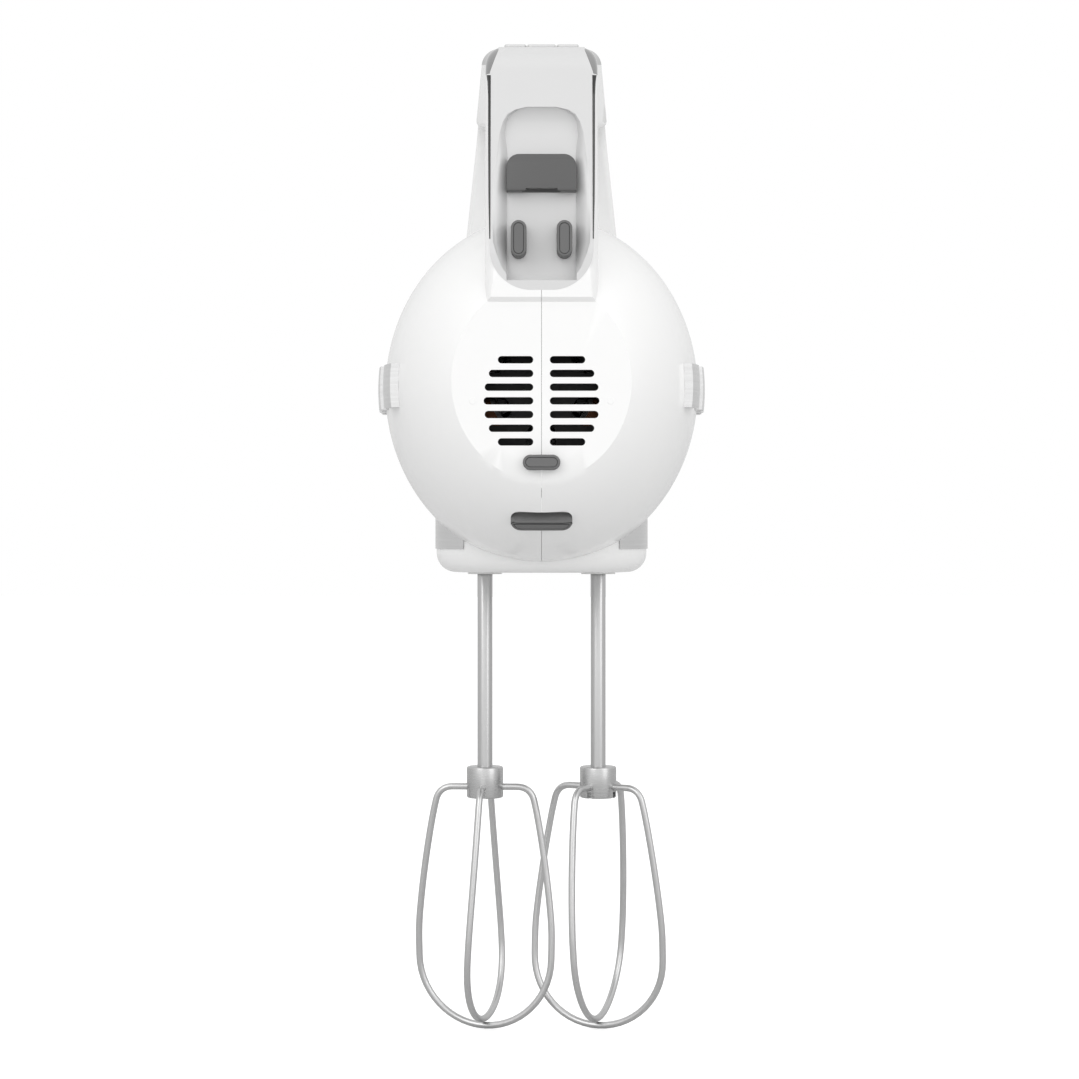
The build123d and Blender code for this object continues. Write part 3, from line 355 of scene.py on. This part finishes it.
def wire_loop(lift):
    """One wire of a whisk in its own plane, as a smooth tube; lift raises its lowest point."""
    low = lift - LOOP_HEIGHT
    knots = [((2.6, 0), (1.4, 0), (5.0, 0)), ((10.6, 0), (8.6, 0), (13.6, 0)),
             ((16.2, -4.4), (15.5, -1.6), (17.9, -11.0)), ((22.2, -44), (21.0, -30), (22.5, -48.5)),
             ((22.4, low + 22.4), (22.45, low + 28), (22.4, low + 10.0)), ((0, low), (12.4, low), (-12.4, low))]
    knots += [tuple((-x, z) for x, z in (at, after, before)) for at, before, after in knots[-2::-1]]
    curve = bpy.data.curves.new("wire", "CURVE")
    curve.dimensions = "3D"
    curve.bevel_depth = WIRE_RADIUS
    curve.bevel_resolution = 5
    curve.resolution_u = 14
    curve.use_fill_caps = True
    spline = curve.splines.new("BEZIER")
    spline.bezier_points.add(len(knots) - 1)
    for point, (at, before, after) in zip(spline.bezier_points, knots):
        point.handle_left_type = point.handle_right_type = "FREE"
        places = [Vector((x, 0, z)) * MM for x, z in (at, before, after)]
        point.co, point.handle_left, point.handle_right = places
    holder = bpy.data.objects.new("wire", curve)
    bpy.context.scene.collection.objects.link(holder)
    form = bmesh.new()
    form.from_mesh(baked(holder))
    bpy.data.objects.remove(holder)
    return form


def whisk_wires(side):
    """Two crossed wire loops with the slight twist that wound beaters have."""
    low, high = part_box(f"beater_loops_{side}")
    middle_x, middle_y = (low.x + high.x) / 2, (low.y + high.y) / 2
    top = high.z - WIRE_RADIUS
    both = bmesh.new()
    for lift, quarter in ((0.0, 0), (INNER_LIFT, 90)):
        loop = wire_loop(lift)
        bmesh.ops.rotate(loop, verts=loop.verts, cent=(0, 0, 0),
                         matrix=Matrix.Rotation(math.radians(quarter), 3, "Z"))
        holder = bpy.data.meshes.new("loop")
        loop.to_mesh(holder)
        loop.free()
        both.from_mesh(holder)
    start, end = WIRE_TWIST[side]
    for vertex in both.verts:
        share = min(1.0, max(0.0, -vertex.co.z / (LOOP_HEIGHT * MM)))
        turn = math.radians(BEATER_ANGLE[side] + start + (end - start) * share)
        vertex.co = Matrix.Rotation(turn, 3, "Z") @ vertex.co + Vector((middle_x, middle_y, top))
    return settle(both, f"whisk_wires_{side}", BODY_OF[f"beater_loops_{side}"], BEATER_STEEL,
                  [f"beater_loops_{side}"], 60)


def pressed_collar(side):
    """The collar that grips the wires: a ring with bevelled rims, slotted below each wire."""
    low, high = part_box(f"beater_collar_{side}")
    middle = Vector(((low.x + high.x) / 2, (low.y + high.y) / 2, (low.z + high.z) / 2))
    radius, height = (high.x - low.x) / 2, high.z - low.z
    ring = bmesh.new()
    bmesh.ops.create_cone(ring, cap_ends=True, segments=64, radius1=radius, radius2=radius, depth=height)
    rims = [e for e in ring.edges if abs(e.verts[0].co.z - e.verts[1].co.z) < 1e-6]
    bmesh.ops.bevel(ring, geom=rims, offset=0.6 * MM, segments=3, profile=0.5, material=-1, affect="EDGES")
    cutters = []
    slot_height = 0.55 * height
    for quarter in range(4):
        slot = bmesh.new()
        bmesh.ops.create_cube(slot, size=1.0)
        bmesh.ops.scale(slot, verts=slot.verts, vec=(3 * MM, 1.5 * MM, slot_height))
        bmesh.ops.translate(slot, verts=slot.verts, vec=(radius, 0, -height / 2 - 0.06 * height))
        angle = math.radians(BEATER_ANGLE[side] + WIRE_TWIST[side][0] + 90 * quarter)
        bmesh.ops.rotate(slot, verts=slot.verts, cent=(0, 0, 0), matrix=Matrix.Rotation(angle, 3, "Z"))
        cutters.append(slot)
    ring = cut_away(ring, cutters)
    bmesh.ops.translate(ring, verts=ring.verts, vec=middle)
    return settle(ring, f"pressed_collar_{side}", BODY_OF[f"beater_collar_{side}"], SHAFT_STEEL,
                  [f"beater_collar_{side}"], 40)


def fluted_shaft(side):
    """The beater's shaft, with rounded corners along it where the bar was drawn, and a bevelled top rim."""
    low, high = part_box(f"beater_shaft_{side}")
    centre = Vector(((low.x + high.x) / 2, (low.y + high.y) / 2, 0))
    radius = (high.x - low.x) / 2
    bar = bmesh.new()
    bmesh.ops.create_circle(bar, cap_ends=True, segments=8, radius=radius * 0.99)
    corners = list(bar.verts)
    bmesh.ops.bevel(bar, geom=corners, offset=0.55 * MM, segments=4, profile=0.5, material=-1,
                    affect="VERTICES")
    drawn = bmesh.ops.extrude_face_region(bar, geom=list(bar.faces))
    top = [item for item in drawn["geom"] if isinstance(item, bmesh.types.BMVert)]
    bmesh.ops.translate(bar, verts=top, vec=(0, 0, high.z - low.z))
    rim = [e for e in bar.edges if all(v in top for v in e.verts)]
    bmesh.ops.bevel(bar, geom=rim, offset=0.7 * MM, segments=2, profile=0.5, material=-1, affect="EDGES")
    bmesh.ops.rotate(bar, verts=bar.verts, cent=(0, 0, 0), matrix=Matrix.Rotation(math.radians(22.5), 3, "Z"))
    bmesh.ops.translate(bar, verts=bar.verts, vec=centre + Vector((0, 0, low.z)))
    bmesh.ops.recalc_face_normals(bar, faces=bar.faces)
    return settle(bar, f"fluted_shaft_{side}", BODY_OF[f"beater_shaft_{side}"], BEATER_STEEL,
                  [f"beater_shaft_{side}"], 24)


for side_name in ("left", "right"):
    whisk_wires(side_name)
    pressed_collar(side_name)
    fluted_shaft(side_name)


# ---------------------------------------------------------------- feet
FOOT_SIZE = {   # length and width
    "handle_foot_left": (10.5, 4.5), "handle_foot_right": (10.5, 4.5), "heel_foot": (10.8, 4.4),
    "lower_foot": (18.0, 6.5)}
SLANTED_FOOT_DEPTH = 4.0


def grooved_foot(node, across, facing, name, flat_top=1.0):
    """A rubber foot with a narrow groove round its face; across is its long direction, flat_top squashes the
    half that lies towards the handle."""
    low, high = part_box(node)
    middle = (low + high) / 2
    facing = Vector(facing).normalized()
    across = Vector(across).normalized()
    other = facing.cross(across)
    corners = [Vector((x, y, z)) - middle
               for x in (low.x, high.x) for y in (low.y, high.y) for z in (low.z, high.z)]
    half_depth = max(c.dot(facing) for c in corners)
    if abs(facing.z) > 0.1:   # the slanting foot: its own depth, not its box's
        half_depth = SLANTED_FOOT_DEPTH / 2 * MM
    half_long = FOOT_SIZE[node][0] / 2 * MM
    half_wide = FOOT_SIZE[node][1] / 2 * MM
    pad = bmesh.new()
    bmesh.ops.create_circle(pad, cap_ends=True, segments=48, radius=half_wide)
    for vertex in pad.verts:
        vertex.co.x += math.copysign(half_long - half_wide, vertex.co.x) if abs(vertex.co.x) > 1e-7 else 0
        if vertex.co.y > 0:
            vertex.co.y *= flat_top
    grown = bmesh.ops.extrude_face_region(pad, geom=list(pad.faces))
    raised = [item for item in grown["geom"] if isinstance(item, bmesh.types.BMVert)]
    bmesh.ops.translate(pad, verts=raised, vec=(0, 0, 2 * half_depth))
    face = [item for item in grown["geom"] if isinstance(item, bmesh.types.BMFace)]
    rim = list(face[0].edges)
    bmesh.ops.bevel(pad, geom=rim, offset=0.45 * MM, segments=3, profile=0.5, material=-1, affect="EDGES")
    crown = max(pad.faces, key=lambda f: (f.calc_center_median().z, f.calc_area()))
    bmesh.ops.inset_individual(pad, faces=[crown], thickness=0.25 * MM, depth=0.0)
    bmesh.ops.inset_individual(pad, faces=[crown], thickness=0.12 * MM, depth=-0.35 * MM)
    bmesh.ops.inset_individual(pad, faces=[crown], thickness=0.12 * MM, depth=0.3 * MM)
    bmesh.ops.recalc_face_normals(pad, faces=pad.faces)
    turn = Matrix((across, other, facing)).transposed()
    bmesh.ops.rotate(pad, verts=pad.verts, cent=(0, 0, 0), matrix=turn)
    bmesh.ops.translate(pad, verts=pad.verts, vec=middle - facing * half_depth)
    return settle(pad, name, BODY_OF[node], FOOT_RUBBER, [node], 30)


grooved_foot("handle_foot_left", (0, 0, 1), (0, -1, 0), "upright_foot_left")
grooved_foot("handle_foot_right", (0, 0, 1), (0, -1, 0), "upright_foot_right")
grooved_foot("heel_foot", (1, 0, 0), (0, -1, 0), "heel_rest_foot")
grooved_foot("lower_foot", (1, 0, 0), (0, -0.72, -0.69), "lower_rest_foot", 0.2)


GLAND_CORNER = 3.6
GLAND_BOW = 1.0             # how far its face bulges at the foot
GLAND_LEAN = 3.0            # how far its face leans in at the top
CORD_RADIUS = 2.6


def swivel_gland():
    """The dark cord gland: rounded top corners, a bowed face, and an arch at its lower edge for the cord."""
    low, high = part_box("cord_gland")
    middle, size = (low + high) / 2, high - low
    form = bmesh.new()
    bmesh.ops.create_cube(form, size=1.0)
    bmesh.ops.scale(form, verts=form.verts, vec=size)
    tops = [e for e in form.edges
            if all(v.co.z > 0 for v in e.verts) and abs(e.verts[0].co.x - e.verts[1].co.x) < 1e-6]
    bmesh.ops.bevel(form, geom=tops, offset=GLAND_CORNER * MM, segments=8, profile=0.5, material=-1,
                    affect="EDGES")
    for share in range(1, 10):
        height = (share / 10 - 0.5) * size.z
        bmesh.ops.bisect_plane(form, geom=form.verts[:] + form.edges[:] + form.faces[:],
                               plane_co=(0, 0, height), plane_no=(0, 0, 1))
    bow, lean = GLAND_BOW * MM, GLAND_LEAN * MM
    for vertex in form.verts:
        if vertex.co.y < 0:
            share = vertex.co.z / size.z + 0.5
            vertex.co.y += lean * share + bow * (1 - share) ** 2 + 0.4 * bow * (2 * vertex.co.x / size.x) ** 4
    rim = [e for e in form.edges if len(e.link_faces) == 2 and e.calc_face_angle() > 0.9 and
           all(v.co.y < 0 for v in e.verts)]
    bmesh.ops.bevel(form, geom=rim, offset=0.35 * MM, segments=3, profile=0.5, material=-1, affect="EDGES")
    arch = bmesh.new()
    bmesh.ops.create_cone(arch, cap_ends=True, segments=48, radius1=CORD_RADIUS * MM,
                          radius2=CORD_RADIUS * MM, depth=6 * MM)
    bmesh.ops.scale(arch, verts=arch.verts, vec=(2.2, 1, 1))
    bmesh.ops.translate(arch, verts=arch.verts, vec=(0, 3.0 * MM - size.y / 2, -size.z / 2 - 2.2 * MM))
    form = cut_away(form, [arch])
    bmesh.ops.translate(form, verts=form.verts, vec=middle)
    return settle(form, "swivel_gland", BODY_OF["cord_gland"], DARK_GLAND, ["cord_gland"], 30)


swivel_gland()


# ---------------------------------------------------------------- back panel
MARK_RADIUS = 1.1
MARK_X = 19.9               # from the middle of the heel
MARK_DROP = 5.7             # below the motor's axis


def moulding_marks():
    """Two small round marks on the heel, either side of the vents."""
    marks = bmesh.new()
    heel_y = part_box("body_shell_left")[0].y + 1.0 * MM
    for side in (-1, 1):
        disc = bmesh.ops.create_cone(marks, cap_ends=True, segments=32, radius1=MARK_RADIUS * MM,
                                     radius2=0.86 * MARK_RADIUS * MM, depth=0.16 * MM)
        bmesh.ops.rotate(marks, verts=disc["verts"], cent=(0, 0, 0),
                         matrix=Matrix.Rotation(math.pi / 2, 3, "X"))
        bmesh.ops.translate(marks, verts=disc["verts"],
                            vec=(side * MARK_X * MM, heel_y, BODY_AXIS_Z - MARK_DROP * MM))
    bmesh.ops.recalc_face_normals(marks, faces=marks.faces)
    settle(marks, "moulding_marks", "housing", WHITE_GLOSS, (), 40)


moulding_marks()


PANEL_TREE = BVHTree.FromPolygons([v.co for v in NODES["rear_panel"].data.vertices],
                                  [p.vertices[:] for p in NODES["rear_panel"].data.polygons])


UPRIGHT_BELOW = -57.5       # the panel's face is upright below this height
BEHIND_ALL = -0.2           # rays start this far behind the handle


def panel_face_y(z):
    """Where the back panel's face lies at a height in millimetres; it leans forward above its lower part."""
    if z < UPRIGHT_BELOW:
        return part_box("rear_panel")[0].y
    hit = PANEL_TREE.ray_cast(Vector((12.0 * MM, BEHIND_ALL, z * MM)), Vector((0, 1, 0)))[0]
    return hit.y


def recess_cutter():
    """What is scooped out of the back panel: an arched hollow that deepens into the cord's channel."""
    sections = [   # height, floor half width, floor depth, lip half width
        (-17.2, 3.9, 0.3, 4.3), (-18.0, 7.0, 1.1, 7.7), (-19.4, 9.2, 1.9, 9.9), (-21.6, 10.3, 2.5, 11.2),
        (-25.0, 10.6, 2.8, 12.2), (-31.0, 9.9, 2.6, 12.9), (-38.0, 9.9, 2.5, 13.9), (-46.0, 9.9, 3.4, 14.3),
        (-57.0, 9.9, 4.75, 14.0), (-64.0, 9.0, 5.15, 11.6), (-67.6, 8.2, 5.15, 9.2)]
    form = bmesh.new()
    loops = []
    for z, floor, depth, lip in sections:
        half = [(0.0, depth), (floor * 0.6, depth), (floor, depth),
                (floor + (lip - floor) * 0.22, depth * 0.62), (floor + (lip - floor) * 0.52, depth * 0.28),
                (floor + (lip - floor) * 0.8, depth * 0.08), (lip, 0.0), (lip + 0.25, -0.4), (lip + 0.3, -3.0)]
        outline = half + [(-x, d) for x, d in half[:0:-1]]
        face_y = panel_face_y(z)
        ring = [form.verts.new((x * MM, face_y + d * MM, z * MM)) for x, d in outline]
        loops.append([form.edges.new((ring[i], ring[(i + 1) % len(ring)])) for i in range(len(ring))])
    for upper, lower in zip(loops, loops[1:]):
        bmesh.ops.bridge_loops(form, edges=upper + lower)
    bmesh.ops.holes_fill(form, edges=form.edges, sides=0)
    bmesh.ops.recalc_face_normals(form, faces=form.faces)
    return form


def back_panel():
    form = cut_away(merged("rear_panel"), [recess_cutter()])
    return settle(form, "scooped_back_panel", BODY_OF["rear_panel"], SILVER_SATIN,
                  ["rear_panel"], 28)


def panel_edging(side):
    """The dark line beside the back panel: widest at the handle's corner, running down to a point. Its
    near-black chrome is painted: a painted dark reflection of the trim and painted shade in the gap beside the
    panel.
    """
    edge_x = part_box("rear_panel")[1].x
    form = bmesh.new()
    loops = []
    for z, wide in ((-7.8, 1.0), (-9.8, 0.72), (-14.0, 0.5), (-30.0, 0.45), (-44.0, 0.35), (-56.0, 0.1)):
        ring = [form.verts.new((side * (edge_x + x * MM), panel_face_y(z) + y * MM, z * MM))
                for x, y in ((-0.25, 0.8), (-0.25, -0.05), (wide * 0.5, -0.18), (wide, 0.0), (wide, 0.8))]
        loops.append([form.edges.new((ring[i], ring[(i + 1) % len(ring)])) for i in range(len(ring))])
    for upper, lower in zip(loops, loops[1:]):
        bmesh.ops.bridge_loops(form, edges=upper + lower)
    bmesh.ops.holes_fill(form, edges=form.edges, sides=0)
    bmesh.ops.recalc_face_normals(form, faces=form.faces)
    name = "panel_edging_right" if side > 0 else "panel_edging_left"
    return settle(form, name, BODY_OF["rear_panel"], CHROME_PAINTED_DARK, (), 40)


back_panel()
panel_edging(-1)
panel_edging(1)


# ---------------------------------------------------------------- camera, light and floor
def soft_light(name, place, aim, size, power):
    lamp = bpy.data.lights.new(name, "AREA")
    lamp.shape = "RECTANGLE"
    lamp.size, lamp.size_y = size
    lamp.energy = power
    holder = bpy.data.objects.new(name, lamp)
    holder.location = place
    holder.rotation_euler = (Vector(aim) - Vector(place)).to_track_quat("-Z", "Y").to_euler()
    bpy.context.scene.collection.objects.link(holder)


TENT_BASE = 0.72
TENT_NEAR = 0.50            # added towards the camera
TENT_ABOVE = 0.24           # added overhead
CAMERA_Y = -0.833
CAMERA_Z = -0.1414
CAMERA_LENS = 86.75


def light_tent(tree):
    """White to the camera; to the object, bright from behind the camera and above, dimmer elsewhere."""
    background = tree.nodes["Background"]
    background.inputs["Color"].default_value = (1, 1, 1, 1)
    facing = tree.nodes.new("ShaderNodeSeparateXYZ")
    tree.links.new(tree.nodes.new("ShaderNodeTexCoord").outputs["Generated"], facing.inputs[0])
    near = arithmetic(tree, "MAXIMUM", arithmetic(tree, "MULTIPLY", facing.outputs["Y"], -1.0), 0.0)
    above = arithmetic(tree, "MAXIMUM", facing.outputs["Z"], 0.0)
    tent = arithmetic(tree, "ADD", arithmetic(tree, "MULTIPLY", near, TENT_NEAR),
                      arithmetic(tree, "MULTIPLY", above, TENT_ABOVE))
    tent = arithmetic(tree, "ADD", tent, TENT_BASE)
    seen = tree.nodes.new("ShaderNodeLightPath").outputs["Is Camera Ray"]
    strength = arithmetic(tree, "MAXIMUM", tent, seen)
    tree.links.new(strength, background.inputs["Strength"])


FLOOR_TONE = 0.62


def pale_floor():
    """A pale floor that looks near white from above and throws only a little light up at the object."""
    material = finish_of("pale_floor", MOULDED, grey(FLOOR_TONE), grey(0.61), 0.7, 0.02, 0.1,
                         Emission_Color=(1, 1, 1, 1))
    tree = material.node_tree
    seen = tree.nodes.new("ShaderNodeLightPath").outputs["Is Camera Ray"]
    glow = arithmetic(tree, "MULTIPLY", seen, FLOOR_TONE)
    tree.links.new(glow, tree.nodes["Principled BSDF"].inputs["Emission Strength"])
    return material


def studio():
    low, high = (Vector(corner) for corner in CAD_BOX)
    floor = bmesh.new()
    bmesh.ops.create_grid(floor, x_segments=1, y_segments=1, size=6.0)
    bmesh.ops.translate(floor, verts=floor.verts, vec=(0, 0, low.z - 0.0005))
    mesh = bpy.data.meshes.new("floor")
    floor.to_mesh(mesh)
    floor.free()
    dress(mesh, pale_floor())
    ground = bpy.data.objects.new("floor", mesh)
    bpy.context.scene.collection.objects.link(ground)
    world = bpy.data.worlds.new("studio")
    world.use_nodes = True
    light_tent(world.node_tree)
    bpy.context.scene.world = world
    middle = (0, 0, (low.z + high.z) / 2)
    soft_light("key", (-0.9, -1.3, 0.7), middle, (0.9, 1.2), 4.0)
    soft_light("fill", (1.1, -1.1, 0.4), middle, (0.9, 1.2), 3.0)
    bpy.context.scene.view_settings.view_transform = "Standard"

    lens = bpy.data.cameras.new("camera")
    lens.sensor_width = 36.0
    lens.lens = CAMERA_LENS
    lens.shift_x = -0.0019
    lens.shift_y = -0.0042
    camera = bpy.data.objects.new("camera", lens)
    camera.location = (0, CAMERA_Y, CAMERA_Z)
    camera.rotation_euler = (math.pi / 2, 0, 0)
    bpy.context.scene.collection.objects.link(camera)
    bpy.context.scene.camera = camera


studio()
